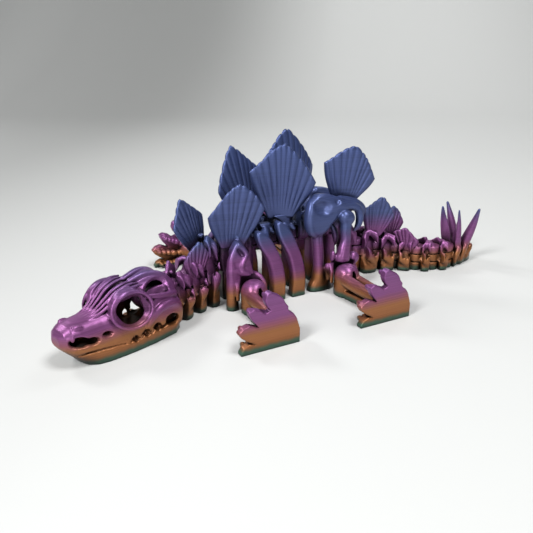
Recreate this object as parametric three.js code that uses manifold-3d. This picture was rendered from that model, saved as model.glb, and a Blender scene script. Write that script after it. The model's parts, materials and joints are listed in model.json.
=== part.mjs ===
// Print-in-place articulated stegosaurus skeleton.
// Millimetres, +Z up, +X towards the tail, -Y on the animal's left side.
// Every link is one rigid print; upright pins hold neighbouring links together.
import * as THREE from 'three';
import { mergeVertices } from 'three/addons/utils/BufferGeometryUtils.js';
import Module from 'manifold-3d';

const wasm = await Module();
wasm.setup();

// ---- Driving dimensions -------------------------------------------------

const PIN_RADIUS = 1.2;
const BORE_RADIUS = 1.6;
const EYE_RADIUS = 3.2;
const FORK_RADIUS = 2.6;
const FORK_THICKNESS = 2.4;
const RADIAL_GAP = 0.4;
const AXIAL_GAP = 0.35;
const FACE_SETBACK = 1;        // from a hinge's axis to the face of each link
const FACE_SWEEP = 0.46;       // how fast the two faces of a joint open sideways
const ROUND_SIDES = 12;
const ROOM = 90;               // larger than any piece, for cutting
const WELD = 1e-4;             // vertices nearer than this are one

const ORIGIN_X = 63.6;         // trunk x of the middle of the whole animal's length

const PLATE_THICKNESS = 2.2;
const PLATE_TURN = 14;         // degrees that a plate's rear edge is turned outwards
const PLATE_CANT = 6;          // degrees that a plate leans outwards
const PLATE_STEM = 2.6;        // half width of a plate's foot at most
const PLATE_SINK = 4;          // how far the foot reaches down into its vertebra
const PLATE_BELLY = 0.56;      // share of the height at which a plate is widest

const LEG = {
  barrelRadius: 7.6,
  barrelTop: 19.6,
  rivetRadius: 2.2,
  rivetHeadRadius: 3.6,
  rivetHeadLow: 3.5,
  rivetHeadHigh: 6.5,
  capThickness: 4,
  capRadius: 8.4,
  footThickness: 11,
};
const FRONT_LEG = { x: 28.5, y: 27, reach: 44, heel: 4.5 };
const REAR_LEG = { x: 90.5, y: 31, reach: 43.5, heel: 13.5 };

// Outline of a foot's sole: distance ahead of the heel (to the toes) and height.
const SOLE = [
  [-30, 0], [0, 0], [0.4, 8], [-2, 14], [-7, 19], [-12, 27], [-19, 32.5], [-20.5, 24], [-30, 25],
  [-26, 17], [-34.5, 15], [-26.5, 6.5], [-32.5, 4],
];
// Section of a shin across its length.
const SHIN = [[-7, 0], [7, 0], [7, 10], [5, 18.5], [-5, 18.5], [-7, 10]];

// Upright hinges of the spine: the two heights between which each is built.
const HINGE = {
  skull: [5, 18],
  neck1: [6, 19],
  neck2: [12, 25],
  neck3: [20, 33],
  trunk: [29, 42],
  tail1: [9, 22],
  tail2: [5, 17],
  tail3: [3, 14],
};

const SHOULDER_REAR = 41;      // trunk x of the hinge behind the shoulder
const SHOULDER_LENGTH = 26;
const PELVIS_FRONT = 69;       // trunk x of the hinge before the pelvis
const PELVIS_REAR = 118;       // trunk x of the hinge at the root of the tail

// Every trunk vertebra is held up from the bed by pillars under its middle.
const PILLAR = { halfWidth: 5, top: 31 };
const PILLARS = { rib: [[1.4, 5.4]], shoulder: [[1.4, 5.4], [15, 22]], pelvis: [[12, 20], [25, 31]] };

const VERTEBRA = { halfWidth: 8, endHalfWidth: 6, overlap: 1 };
const RIB = { pitch: 14, width: 8.4, thickness: 6, plateX: 10, stem: [7, 12], stemDepth: 2, stemRise: 3, stemHalf: 9 };
// A rib from the backbone over its shoulder and down to its foot: x, distance to the side, height.
const RIB_LINE = [
  [7, 3, 41], [9.8, 9, 42.5], [12.8, 14, 38.5], [8.6, 18, 25.5], [6.3, 18.5, 13], [6.4, 18, 1], [6.4, 18, -4],
];
const RIB_PLATES = [
  [{ x: 13, y: -8, z: 43, height: 47, width: 34, lean: 9, side: -1 }],
  [{ x: 11, y: 8, z: 43, height: 50, width: 40, lean: 1, side: 1 }],
];

// Neck from the shoulder to the skull. turn is each link's angle to the one before it.
const NECK = {
  neck_vertebra_3: {
    length: 12, halfWidth: 8, top: 41, turn: 14, own: HINGE.neck3, next: HINGE.neck2,
    plates: [{ x: 8.5, y: -3.5, z: 32, height: 33, width: 25, lean: 9, side: -1 }],
  },
  neck_vertebra_2: {
    length: 12, halfWidth: 8, top: 31, turn: 10, own: HINGE.neck2, next: HINGE.neck1,
    plates: [{ y: 4, z: 20, height: 22, width: 17, lean: -2, side: 1 }],
  },
  neck_vertebra_1: {
    length: 12, halfWidth: 7.5, top: 27, turn: 6, own: HINGE.neck1, next: HINGE.skull,
    plates: [{ y: -3.5, z: 18, height: 15, width: 12, lean: 1, side: -1 }],
  },
};
const SKULL_TURN = -7.4;

// Tail from the pelvis to the spiked tip.
const TAIL = {
  tail_vertebra_1: {
    length: 16.5, halfWidth: 9, top: 27, turn: -3, own: HINGE.tail1, next: HINGE.tail2,
    plates: [{ x: 13, y: -4, z: 24, height: 27, width: 24, lean: 5, side: -1 }],
  },
  tail_vertebra_2: {
    length: 15.4, halfWidth: 8.5, top: 20.5, turn: -19, own: HINGE.tail2, next: HINGE.tail3,
    plates: [{ x: 10.5, y: 3.5, z: 18, height: 22, width: 19, lean: 4, side: 1 }],
  },
  tail_vertebra_3: {
    length: 14, halfWidth: 7.5, top: 18.5, turn: -20, own: HINGE.tail3, next: HINGE.tail3,
    plates: [{ x: 8, y: -4.5, z: 14, height: 16, width: 15, lean: 1, side: -1 }],
  },
  tail_vertebra_4: { length: 11, halfWidth: 7, top: 17.5, turn: 15, own: HINGE.tail3, next: HINGE.tail3 },
  tail_vertebra_5: { length: 11, halfWidth: 6.5, top: 17, turn: 18, own: HINGE.tail3, next: HINGE.tail3 },
};
const TAIL_TIP_TURN = 20;

// Skull in its own frame, from the side (x, z) and from above (x, y).
const SKULL = {
  profile: [
    [1.5, 3], [9, 0], [59, 0], [64.5, 5], [68.5, 11], [69.5, 17], [67, 21.5], [59, 23], [51, 24.5],
    [44.5, 30.5], [35, 34], [23, 35], [12, 31], [5, 26], [1.5, 20],
  ],
  plan: [
    [FACE_SETBACK, 0], [3.3, -5], [10, -12.5], [26, -15], [42, -14.5], [55, -11], [66, -8], [70, -3],
    [70, 3], [66, 8], [55, 11], [42, 14.5], [26, 15], [10, 12.5], [3.3, 5],
  ],
  halfWidth: 16,
  height: 40,
  orbit: { x: 37, z: 23, radius: 8 },
  cheekHole: { x: 14, z: 10, radius: 3 },
  mouth: { from: [34, 10.5, 6], to: [63, 17, 7.2] },
  snoutHole: { from: [54, 4, 11], to: [65, 14, 15] },
  browHole: { x: 18, y: 7, radius: 4, floor: 24 },
};

// Shoulder in its own frame: the blade's outline (x, z) and the throat's plan (x, y).
const LEG_CAP_LOW = LEG.barrelTop + AXIAL_GAP;
const SHOULDER = {
  blade: [
    [16, 0], [26, 0], [25.5, 8], [25.5, 22], [23, 33], [16, 38.5], [11.5, 34],
    [10.5, LEG_CAP_LOW + 4], [4.5, LEG_CAP_LOW + 3.5], [4.5, LEG_CAP_LOW], [16, LEG_CAP_LOW],
  ],
  bladeInner: 14.5,
  bladeOuter: 19.2,
  throat: [[14, -4.5], [21.5, -4.5], [SHOULDER_LENGTH - 1, 0], [21.5, 4.5], [14, 4.5]],
  strap: [[14, 3, 36], [14.5, 11, 37], [16, 17, 33]],
  strapWidth: 9,
  strapThickness: 6,
  shelf: { from: [14, 4, 38], to: [19, 9.5, 41] },
  plate: { x: 16.5, y: 8.5, z: 35, height: 39, width: 34, lean: -5, side: 1, tailward: -1 },
};

// Pelvis in its own frame: plans (x, y) of the backbone, outlines (x, z) of the hip bone and its column.
const PELVIS_LENGTH = PELVIS_REAR - PELVIS_FRONT;
const PELVIS = {
  sacrum: [
    [FACE_SETBACK, 0], [4, -6], [12, -8], [34, -8], [PELVIS_LENGTH - 5, -5], [PELVIS_LENGTH - 3, 0],
    [PELVIS_LENGTH - 5, 5], [34, 8], [12, 8], [4, 6],
  ],
  sacrumRise: 8,
  rearColumn: [
    [PELVIS_LENGTH - 15, -7], [PELVIS_LENGTH - 4.5, -7], [PELVIS_LENGTH - FACE_SETBACK, 0],
    [PELVIS_LENGTH - 4.5, 7], [PELVIS_LENGTH - 15, 7],
  ],
  ilium: [
    [0, 46], [3, 37], [8, 38], [13, 47], [21, 51], [27, 49], [31, 42], [34, 36.5], [40, 39],
    [44, 50], [36, 56], [24, 61], [11, 61.5], [4, 54],
  ],
  iliumInner: 16.3,
  iliumOuter: 22.7,
  column: [[3.5, 0], [18.5, 0], [15.5, 6], [13.2, 14], [13.4, 44], [5.2, 44], [6.5, 14]],
  columnInner: 13,
  columnOuter: 19,
  yoke: { from: [12.4, -18.4, 42.8], to: [30.3, 18.4, 49.3] },
  thigh: [[24.2, 19.1, 49.6], [23, 22.4, 38], [REAR_LEG.x - PELVIS_FRONT, 26, 27],
    [REAR_LEG.x - PELVIS_FRONT, 27.2, LEG_CAP_LOW + 2]],
  thighWidth: 9,
  thighThickness: 8,
  bridge: { from: [8.3, 15.2, LEG_CAP_LOW + 0.3], to: [20.2, 25.3, LEG_CAP_LOW + LEG.capThickness - 0.3] },
  plates: [
    { x: 6, y: 8, z: 50, height: 48, width: 40, lean: -2, side: 1 },
    { x: 35, y: -8, z: 50, height: 37, width: 36, lean: 4, side: -1 },
  ],
};

const TAIL_TIP = {
  plan: [
    [FACE_SETBACK, 0], [3.2, -4.6], [9, -6.4], [20, -5.4], [28, -3], [31.5, 0],
    [28, 3], [20, 5.4], [9, 6.4], [3.2, 4.6],
  ],
  height: 15,
  spikes: [{ root: [9, 3, 12], tip: [2.5, 6.2, 41.5] }, { root: [16, 3, 12], tip: [17, 12.5, 41] }],
};
const SPIKE_RADIUS = 2.9;
const SPIKE_SIDES = 10;

// Shares of a vertebra's size: its broad lower body and its narrow spine.
const LOWER_BODY = { top: 0.72, end: 0.72 };
const UPPER_BODY = { bottom: 0.5, width: 0.58, end: 0.4 };

const PURPLE = 0x6b4273;
const INDIGO = 0x3d4573;
const COPPER = 0x7d5550;

// ---- Solids -------------------------------------------------------------

const rad = THREE.MathUtils.degToRad;

/** A closed solid from a three.js geometry, moved by the matrix if one is given. */
function solid(geometry, matrix = null) {
  const bare = geometry.clone();
  bare.deleteAttribute('normal');
  bare.deleteAttribute('uv');
  if (matrix) {
    bare.applyMatrix4(matrix);
  }
  const merged = mergeVertices(bare, WELD);
  const mesh = new wasm.Mesh({
    numProp: 3,
    vertProperties: Float32Array.from(merged.attributes.position.array),
    triVerts: Uint32Array.from(merged.index.array),
  });
  return new wasm.Manifold(mesh);
}

function union(...solids) {
  return solids.reduce((whole, piece) => whole.add(piece));
}

/** A block between two opposite corners, given in any order. */
function box(a, b) {
  const low = a.map((value, i) => Math.min(value, b[i]));
  const high = a.map((value, i) => Math.max(value, b[i]));
  const size = high.map((value, i) => value - low[i]);
  const geometry = new THREE.BoxGeometry(...size);
  geometry.translate(...low.map((value, i) => (value + high[i]) / 2));
  return solid(geometry);
}

function upright(x, y, radius, low, high) {
  const geometry = new THREE.CylinderGeometry(radius, radius, high - low, ROUND_SIDES);
  geometry.rotateX(Math.PI / 2);
  geometry.translate(x, y, (low + high) / 2);
  return solid(geometry);
}

function crosswise(x, z, radius, halfLength) {
  const geometry = new THREE.CylinderGeometry(radius, radius, 2 * halfLength, ROUND_SIDES);
  geometry.translate(x, 0, z);
  return solid(geometry);
}

function shape(points) {
  return new THREE.Shape(points.map(([u, v]) => new THREE.Vector2(u, v)));
}

/** An outline in plan, standing from low to high. */
function standing(points, low, high) {
  const geometry = new THREE.ExtrudeGeometry(shape(points), { depth: high - low, bevelEnabled: false });
  geometry.translate(0, 0, low);
  return solid(geometry);
}

/** An outline seen from the end (y, z), filling x from x0 to x1. */
function endways(points, x0, x1) {
  const geometry = new THREE.ExtrudeGeometry(shape(points), { depth: x1 - x0, bevelEnabled: false });
  geometry.rotateX(Math.PI / 2);
  geometry.rotateZ(Math.PI / 2);
  geometry.translate(x0, 0, 0);
  return solid(geometry);
}

/** An outline seen from the side (x, z), filling y from y0 to y1. */
function sideways(points, y0, y1) {
  const depth = Math.abs(y1 - y0);
  const geometry = new THREE.ExtrudeGeometry(shape(points), { depth, bevelEnabled: false });
  geometry.rotateX(Math.PI / 2);
  geometry.translate(0, Math.max(y0, y1), 0);
  return solid(geometry);
}

/** A bar of oval section, width along X and thickness across, through the points. */
function bar(points, width, thickness, steps = 8, sides = 4) {
  const section = new THREE.Shape();
  section.absellipse(0, 0, thickness / 2, width / 2, 0, 2 * Math.PI, false, 0);
  const path = new THREE.CatmullRomCurve3(points.map((p) => new THREE.Vector3(...p)));
  const geometry = new THREE.ExtrudeGeometry(section, {
    extrudePath: path,
    steps,
    curveSegments: sides,
  });
  return solid(geometry);
}

/** The same point on the side given by +1 or -1. */
function onSide([x, y, z], side) {
  return [x, y * side, z];
}

/** Everything under the printing bed is cut away. */
function onBed(piece) {
  return piece.subtract(box([-ROOM, -ROOM, -ROOM], [ROOM, ROOM, 0]));
}

// ---- Upright hinges -----------------------------------------------------

/** Adds the fork and its fixed pin at (x, 0), and makes room for the next link's eye. */
function withFork(body, x, [low, high]) {
  const room = upright(x, 0, EYE_RADIUS + RADIAL_GAP, low + FORK_THICKNESS, high - FORK_THICKNESS);
  return union(
    body.subtract(room),
    upright(x, 0, FORK_RADIUS, low, low + FORK_THICKNESS),
    upright(x, 0, FORK_RADIUS, high - FORK_THICKNESS, high),
    upright(x, 0, PIN_RADIUS, low, high),
  );
}

/** Adds the eye at the link's own origin, and makes room for the fork and pin around it. */
function withEye(body, [low, high]) {
  const eyeLow = low + FORK_THICKNESS + AXIAL_GAP;
  const eyeHigh = high - FORK_THICKNESS - AXIAL_GAP;
  const forkRoom = FORK_RADIUS + RADIAL_GAP;
  return body
    .subtract(upright(0, 0, forkRoom, low - AXIAL_GAP, eyeLow))
    .subtract(upright(0, 0, forkRoom, eyeHigh, high + AXIAL_GAP))
    .add(upright(0, 0, EYE_RADIUS, eyeLow, eyeHigh))
    .subtract(upright(0, 0, BORE_RADIUS, low - AXIAL_GAP, high + AXIAL_GAP));
}

/** Plan of a vertebra from its own hinge at x = 0 to the next at x = length, wide in the middle. */
function vertebraPlan(length, halfWidth, endHalfWidth) {
  const front = FACE_SETBACK + FACE_SWEEP * endHalfWidth;
  const rear = length - front;
  const middle = length / 2;
  return [
    [FACE_SETBACK, 0],
    [front, -endHalfWidth],
    [middle, -halfWidth],
    [rear, -endHalfWidth],
    [length - FACE_SETBACK, 0],
    [rear, endHalfWidth],
    [middle, halfWidth],
    [front, endHalfWidth],
  ];
}

/** The body of one trunk vertebra with its pillars. */
function backbone(length, spans) {
  const [low, high] = HINGE.trunk;
  const plan = vertebraPlan(length, VERTEBRA.halfWidth, VERTEBRA.endHalfWidth);
  return union(
    standing(plan, low - VERTEBRA.overlap, high + VERTEBRA.overlap),
    ...pillars(spans),
  );
}

function pillars(spans) {
  return spans.map(([x0, x1]) => box([x0, -PILLAR.halfWidth, 0], [x1, PILLAR.halfWidth, PILLAR.top]));
}

// ---- Back plates --------------------------------------------------------

/**
 * A leaf-shaped plate whose stem starts at (x, y, z).
 * side is the y direction that it stands on, tailward the x direction of the tail in the link's frame.
 */
function plate({ x, y, z, height, width, lean, side, tailward = 1 }) {
  const half = width / 2;
  const foot = Math.min(PLATE_STEM, width * 0.12);
  const belly = height * PLATE_BELLY;
  const bellyLean = lean * 0.3;
  const shoulder = { out: half * 0.62, lean: lean * 0.7, up: height * 0.8 };
  const waist = { out: foot * 1.6, up: height * 0.16 };
  const leaf = new THREE.Shape();
  leaf.moveTo(-foot, -PLATE_SINK);
  leaf.lineTo(foot, -PLATE_SINK);
  leaf.quadraticCurveTo(waist.out, waist.up, half + bellyLean, belly);
  leaf.quadraticCurveTo(shoulder.out + shoulder.lean, shoulder.up, lean, height);
  leaf.quadraticCurveTo(shoulder.lean - shoulder.out, shoulder.up, bellyLean - half, belly);
  leaf.quadraticCurveTo(-waist.out, waist.up, -foot, -PLATE_SINK);
  const geometry = new THREE.ExtrudeGeometry(leaf, {
    depth: PLATE_THICKNESS,
    bevelEnabled: false,
    curveSegments: 4,
  });
  geometry.translate(0, 0, -PLATE_THICKNESS / 2);
  geometry.rotateX(Math.PI / 2);
  const matrix = new THREE.Matrix4().makeTranslation(x, y, z);
  matrix.multiply(new THREE.Matrix4().makeRotationZ(rad(PLATE_TURN) * side * tailward));
  matrix.multiply(new THREE.Matrix4().makeRotationX(-rad(PLATE_CANT) * side));
  return solid(geometry, matrix);
}

// ---- Skull and neck (own frames: +x towards the snout, +y the animal's left) ----

function skull() {
  const { profile, plan, halfWidth, height, orbit, cheekHole, mouth, snoutHole, browHole } = SKULL;
  let body = sideways(profile, -halfWidth, halfWidth).intersect(standing(plan, -1, height));
  for (const hole of [orbit, cheekHole]) {
    body = body.subtract(crosswise(hole.x, hole.z, hole.radius, halfWidth + 1));
  }
  for (const side of [-1, 1]) {
    for (const cut of [mouth, snoutHole]) {
      body = body.subtract(box(onSide(cut.from, side), onSide(cut.to, side)));
    }
    body = body.subtract(upright(browHole.x, side * browHole.y, browHole.radius, browHole.floor, height));
  }
  return withEye(body, HINGE.skull);
}

/** A vertebra of the neck or the tail, down to the bed. */
function vertebra({ length, halfWidth, top, own, next, plates = [] }, tailward) {
  const spine = halfWidth * UPPER_BODY.width;
  const parts = [
    standing(vertebraPlan(length, halfWidth, halfWidth * LOWER_BODY.end), 0, top * LOWER_BODY.top),
    standing(vertebraPlan(length, spine, halfWidth * UPPER_BODY.end), top * UPPER_BODY.bottom, top),
    ...plates.map((leaf) => plate({ x: length / 2, tailward, ...leaf })),
  ];
  return withEye(withFork(union(...parts), length, next), own);
}

// ---- Trunk (own frames: +x towards the head, +y the animal's left) -------

function ribSegment(plates) {
  const high = HINGE.trunk[1];
  const [stemFront, stemRear] = RIB.stem;
  const parts = [
    backbone(RIB.pitch, PILLARS.rib),
    box([stemFront, -RIB.stemHalf, high - RIB.stemDepth], [stemRear, RIB.stemHalf, high + RIB.stemRise]),
    ...plates.map((leaf) => plate({ x: RIB.plateX, tailward: -1, ...leaf })),
  ];
  for (const side of [-1, 1]) {
    parts.push(bar(RIB_LINE.map((point) => onSide(point, side)), RIB.width, RIB.thickness));
  }
  return withEye(withFork(onBed(union(...parts)), RIB.pitch, HINGE.trunk), HINGE.trunk);
}

/** The cap over a leg's barrel and the rivet that hangs from it into the barrel. */
function legSocket(x, y) {
  return union(
    upright(x, y, LEG.capRadius, LEG_CAP_LOW, LEG_CAP_LOW + LEG.capThickness),
    upright(x, y, LEG.rivetRadius, LEG.rivetHeadLow, LEG_CAP_LOW + 1),
    upright(x, y, LEG.rivetHeadRadius, LEG.rivetHeadLow, LEG.rivetHeadHigh),
  );
}

function shoulderSegment() {
  const { blade, bladeInner, bladeOuter, throat, strap, strapWidth, strapThickness, shelf } = SHOULDER;
  const low = HINGE.trunk[0];
  const parts = [
    backbone(SHOULDER_LENGTH, PILLARS.shoulder),
    standing(throat, HINGE.neck3[0] - VERTEBRA.overlap, low + VERTEBRA.overlap),
    box(shelf.from, shelf.to),
    plate(SHOULDER.plate),
  ];
  for (const side of [-1, 1]) {
    parts.push(sideways(blade, side * bladeInner, side * bladeOuter));
    parts.push(legSocket(SHOULDER_REAR - FRONT_LEG.x, side * FRONT_LEG.y));
    parts.push(bar(strap.map((point) => onSide(point, side)), strapWidth, strapThickness));
  }
  return withEye(withFork(onBed(union(...parts)), SHOULDER_LENGTH, HINGE.neck3), HINGE.trunk);
}

// ---- Pelvis (own frame at its front hinge, +x towards the tail) ----------

function pelvisSegment() {
  const { sacrum, sacrumRise, rearColumn, ilium, iliumInner, iliumOuter, column, columnInner, columnOuter } = PELVIS;
  const { yoke, thigh, thighWidth, thighThickness, bridge, plates } = PELVIS;
  const [low, high] = HINGE.trunk;
  const parts = [
    standing(sacrum, low - VERTEBRA.overlap, high + sacrumRise),
    standing(rearColumn, 0, low),
    ...pillars(PILLARS.pelvis),
    box(yoke.from, yoke.to),
    ...plates.map(plate),
  ];
  for (const side of [-1, 1]) {
    parts.push(sideways(ilium, side * iliumInner, side * iliumOuter));
    parts.push(sideways(column, side * columnInner, side * columnOuter));
    parts.push(legSocket(REAR_LEG.x - PELVIS_FRONT, side * REAR_LEG.y));
    parts.push(bar(thigh.map((point) => onSide(point, side)), thighWidth, thighThickness));
    parts.push(box(onSide(bridge.from, side), onSide(bridge.to, side)));
  }
  const front = withFork(onBed(union(...parts)), 0, HINGE.trunk);
  return withFork(front, PELVIS_LENGTH, HINGE.tail1);
}

// ---- Tip of the tail (own frame: +x towards the tip, -y the animal's left) ----

function spike(root, tip) {
  const from = new THREE.Vector3(...root);
  const along = new THREE.Vector3(...tip).sub(from);
  const geometry = new THREE.ConeGeometry(SPIKE_RADIUS, along.length(), SPIKE_SIDES);
  geometry.translate(0, along.length() / 2, 0);
  const turn = new THREE.Quaternion();
  turn.setFromUnitVectors(new THREE.Vector3(0, 1, 0), along.clone().normalize());
  const matrix = new THREE.Matrix4().compose(from, turn, new THREE.Vector3(1, 1, 1));
  return solid(geometry, matrix);
}

function tailTip() {
  const parts = [standing(TAIL_TIP.plan, 0, TAIL_TIP.height)];
  for (const side of [-1, 1]) {
    for (const { root, tip } of TAIL_TIP.spikes) {
      parts.push(spike(onSide(root, side), onSide(tip, side)));
    }
  }
  return withEye(union(...parts), HINGE.tail3);
}

// ---- Legs (own frame at the barrel's axis, +x outwards) ------------------

/** side is +1 on the animal's left, where the toes point to -y, and -1 on its right. */
function leg({ reach, heel }, side) {
  const sole = SOLE.map(([u, v]) => [(heel + u) * side, v]);
  const bore = LEG.rivetRadius + RADIAL_GAP;
  const headRoom = LEG.rivetHeadRadius + RADIAL_GAP;
  return union(
    upright(0, 0, LEG.barrelRadius, 0, LEG.barrelTop),
    endways(SHIN, 0, reach - 1),
    endways(sole, reach - LEG.footThickness, reach),
  )
    .subtract(upright(0, 0, bore, LEG.rivetHeadLow, LEG.barrelTop + 1))
    .subtract(upright(0, 0, headRoom, LEG.rivetHeadLow - AXIAL_GAP, LEG.rivetHeadHigh + AXIAL_GAP));
}

// ---- Assembly -----------------------------------------------------------

function node(name, piece, colour) {
  const { numProp, vertProperties, triVerts } = piece.getMesh();
  const geometry = new THREE.BufferGeometry();
  const positions = new Float32Array((vertProperties.length / numProp) * 3);
  for (let i = 0; i < positions.length / 3; i += 1) {
    positions.set(vertProperties.subarray(i * numProp, i * numProp + 3), i * 3);
  }
  geometry.setAttribute('position', new THREE.BufferAttribute(positions, 3));
  geometry.setIndex(Array.from(triVerts));
  const material = new THREE.MeshStandardMaterial({ color: colour, roughness: 0.35, metalness: 0.1 });
  const mesh = new THREE.Mesh(geometry, material);
  mesh.name = name;
  return mesh;
}

/** A link's group, hung at (x, y) of its parent's frame and turned by some degrees. */
function link(parent, mesh, x, y, degrees) {
  const group = new THREE.Group();
  group.position.set(x, y, 0);
  group.rotation.z = rad(degrees);
  group.add(mesh);
  parent.add(group);
  return group;
}

const stegosaurus = new THREE.Group();
stegosaurus.position.x = -ORIGIN_X;

const pelvis = link(stegosaurus, node('pelvis_segment', pelvisSegment(), INDIGO), PELVIS_FRONT, 0, 0);
const hipX = REAR_LEG.x - PELVIS_FRONT;
link(pelvis, node('rear_left_leg', leg(REAR_LEG, 1), COPPER), hipX, -REAR_LEG.y, -90);
link(pelvis, node('rear_right_leg', leg(REAR_LEG, -1), COPPER), hipX, REAR_LEG.y, 90);

let front = link(pelvis, node('rib_segment_2', ribSegment(RIB_PLATES[1]), INDIGO), 0, 0, 180);
front = link(front, node('rib_segment_1', ribSegment(RIB_PLATES[0]), INDIGO), RIB.pitch, 0, 0);
const shoulder = link(front, node('shoulder_segment', shoulderSegment(), PURPLE), RIB.pitch, 0, 0);
const elbowX = SHOULDER_REAR - FRONT_LEG.x;
link(shoulder, node('front_left_leg', leg(FRONT_LEG, 1), COPPER), elbowX, FRONT_LEG.y, 90);
link(shoulder, node('front_right_leg', leg(FRONT_LEG, -1), COPPER), elbowX, -FRONT_LEG.y, -90);

front = shoulder;
let reach = SHOULDER_LENGTH;
for (const [name, bone] of Object.entries(NECK)) {
  front = link(front, node(name, vertebra(bone, -1), PURPLE), reach, 0, bone.turn);
  reach = bone.length;
}
link(front, node('skull', skull(), PURPLE), reach, 0, SKULL_TURN);

let rear = pelvis;
reach = PELVIS_LENGTH;
for (const [name, bone] of Object.entries(TAIL)) {
  rear = link(rear, node(name, vertebra(bone, 1), COPPER), reach, 0, bone.turn);
  reach = bone.length;
}
link(rear, node('tail_tip', tailTip(), COPPER), reach, 0, TAIL_TIP_TURN);

export default stegosaurus;
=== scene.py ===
"""Looks of the print-in-place stegosaurus skeleton.

Each link is sculpted as a signed-distance field in its own frame, in millimetres, and then meshed.
A link's frame starts on its hinge. The trunk's front half, the neck and the skull face the head
(+x) with +y on the animal's left; the pelvis and the tail face the tail with -y on its left.
"""

import json
import math

import bmesh
import bpy
import numpy as np
from mathutils import Matrix, Vector

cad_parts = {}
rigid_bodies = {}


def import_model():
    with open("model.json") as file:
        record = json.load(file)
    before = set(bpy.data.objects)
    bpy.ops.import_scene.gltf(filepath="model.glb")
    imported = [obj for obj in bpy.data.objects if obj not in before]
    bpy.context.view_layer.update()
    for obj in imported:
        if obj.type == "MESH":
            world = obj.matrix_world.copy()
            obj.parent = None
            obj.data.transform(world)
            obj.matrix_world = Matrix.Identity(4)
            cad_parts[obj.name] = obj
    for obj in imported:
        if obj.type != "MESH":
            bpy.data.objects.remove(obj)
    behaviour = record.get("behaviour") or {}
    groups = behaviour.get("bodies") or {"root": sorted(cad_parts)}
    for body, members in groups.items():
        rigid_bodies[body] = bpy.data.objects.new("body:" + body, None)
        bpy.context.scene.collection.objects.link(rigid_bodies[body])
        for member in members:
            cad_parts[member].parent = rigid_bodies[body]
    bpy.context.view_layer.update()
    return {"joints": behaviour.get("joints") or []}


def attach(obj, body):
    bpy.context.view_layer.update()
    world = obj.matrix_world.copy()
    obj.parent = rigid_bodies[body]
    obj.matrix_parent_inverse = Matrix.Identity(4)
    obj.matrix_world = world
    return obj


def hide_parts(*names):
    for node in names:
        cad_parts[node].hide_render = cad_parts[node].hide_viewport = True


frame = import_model()

MM = 0.001
STEP = 0.6                  # grid pitch of the sculpted links
FINE_STEP = 0.5             # the skull's grid pitch
HINGE_GAP = 0.8             # from a hinge's axis to the face of either link, at y = 0
HINGE_SWEEP = 0.25          # how fast the two faces of a joint open sideways
TRUNK_SWEEP = 0.15
KNUCKLE_RADIUS = 3.3
KNUCKLE_ROOM = 0.6
KNUCKLE_PLAY = 0.3          # between a knuckle and the lugs over and under it
LUG_RADIUS = 2.9
LUG_HEIGHT = 2.6
SOCKET_RADIUS = 4.0
BARREL_RADIUS = 7.6
BARREL_ROOM = 0.5
BURIED = -3                 # where forms that stand on the bed start, under it
OVER_ALL = 80               # higher than any form
SHOULDER_LENGTH = 26.0
RIB_PITCH = 14.0
RIB_TOP = 51.0
RIB_BEND = 28               # a shorter rib is squeezed above this height only
PELVIS_LENGTH = 49.0
SHOULDER_HIP = (12.5, 27)   # a leg's axis, (x, y) from its segment's origin, on the +y side
PELVIS_HIP = (21.5, 31)
PLATE_TURN = 14.0           # degrees that a plate's rear edge is turned outwards
PLATE_CANT = 6.0            # degrees that a plate leans outwards
LOOK = (0.4705, 0.8826)     # the camera's direction over the table
X, Y, Z = range(3)


# ---- Clay ----------------------------------------------------------------


def soft_min(a, b, k):
    """The lower of two distances, rounded over a width of k where they meet."""
    if k <= 0:
        return np.minimum(a, b)
    h = np.clip(0.5 + 0.5 * (b - a) / k, 0.0, 1.0)
    return b + (a - b) * h - k * h * (1.0 - h)


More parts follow.
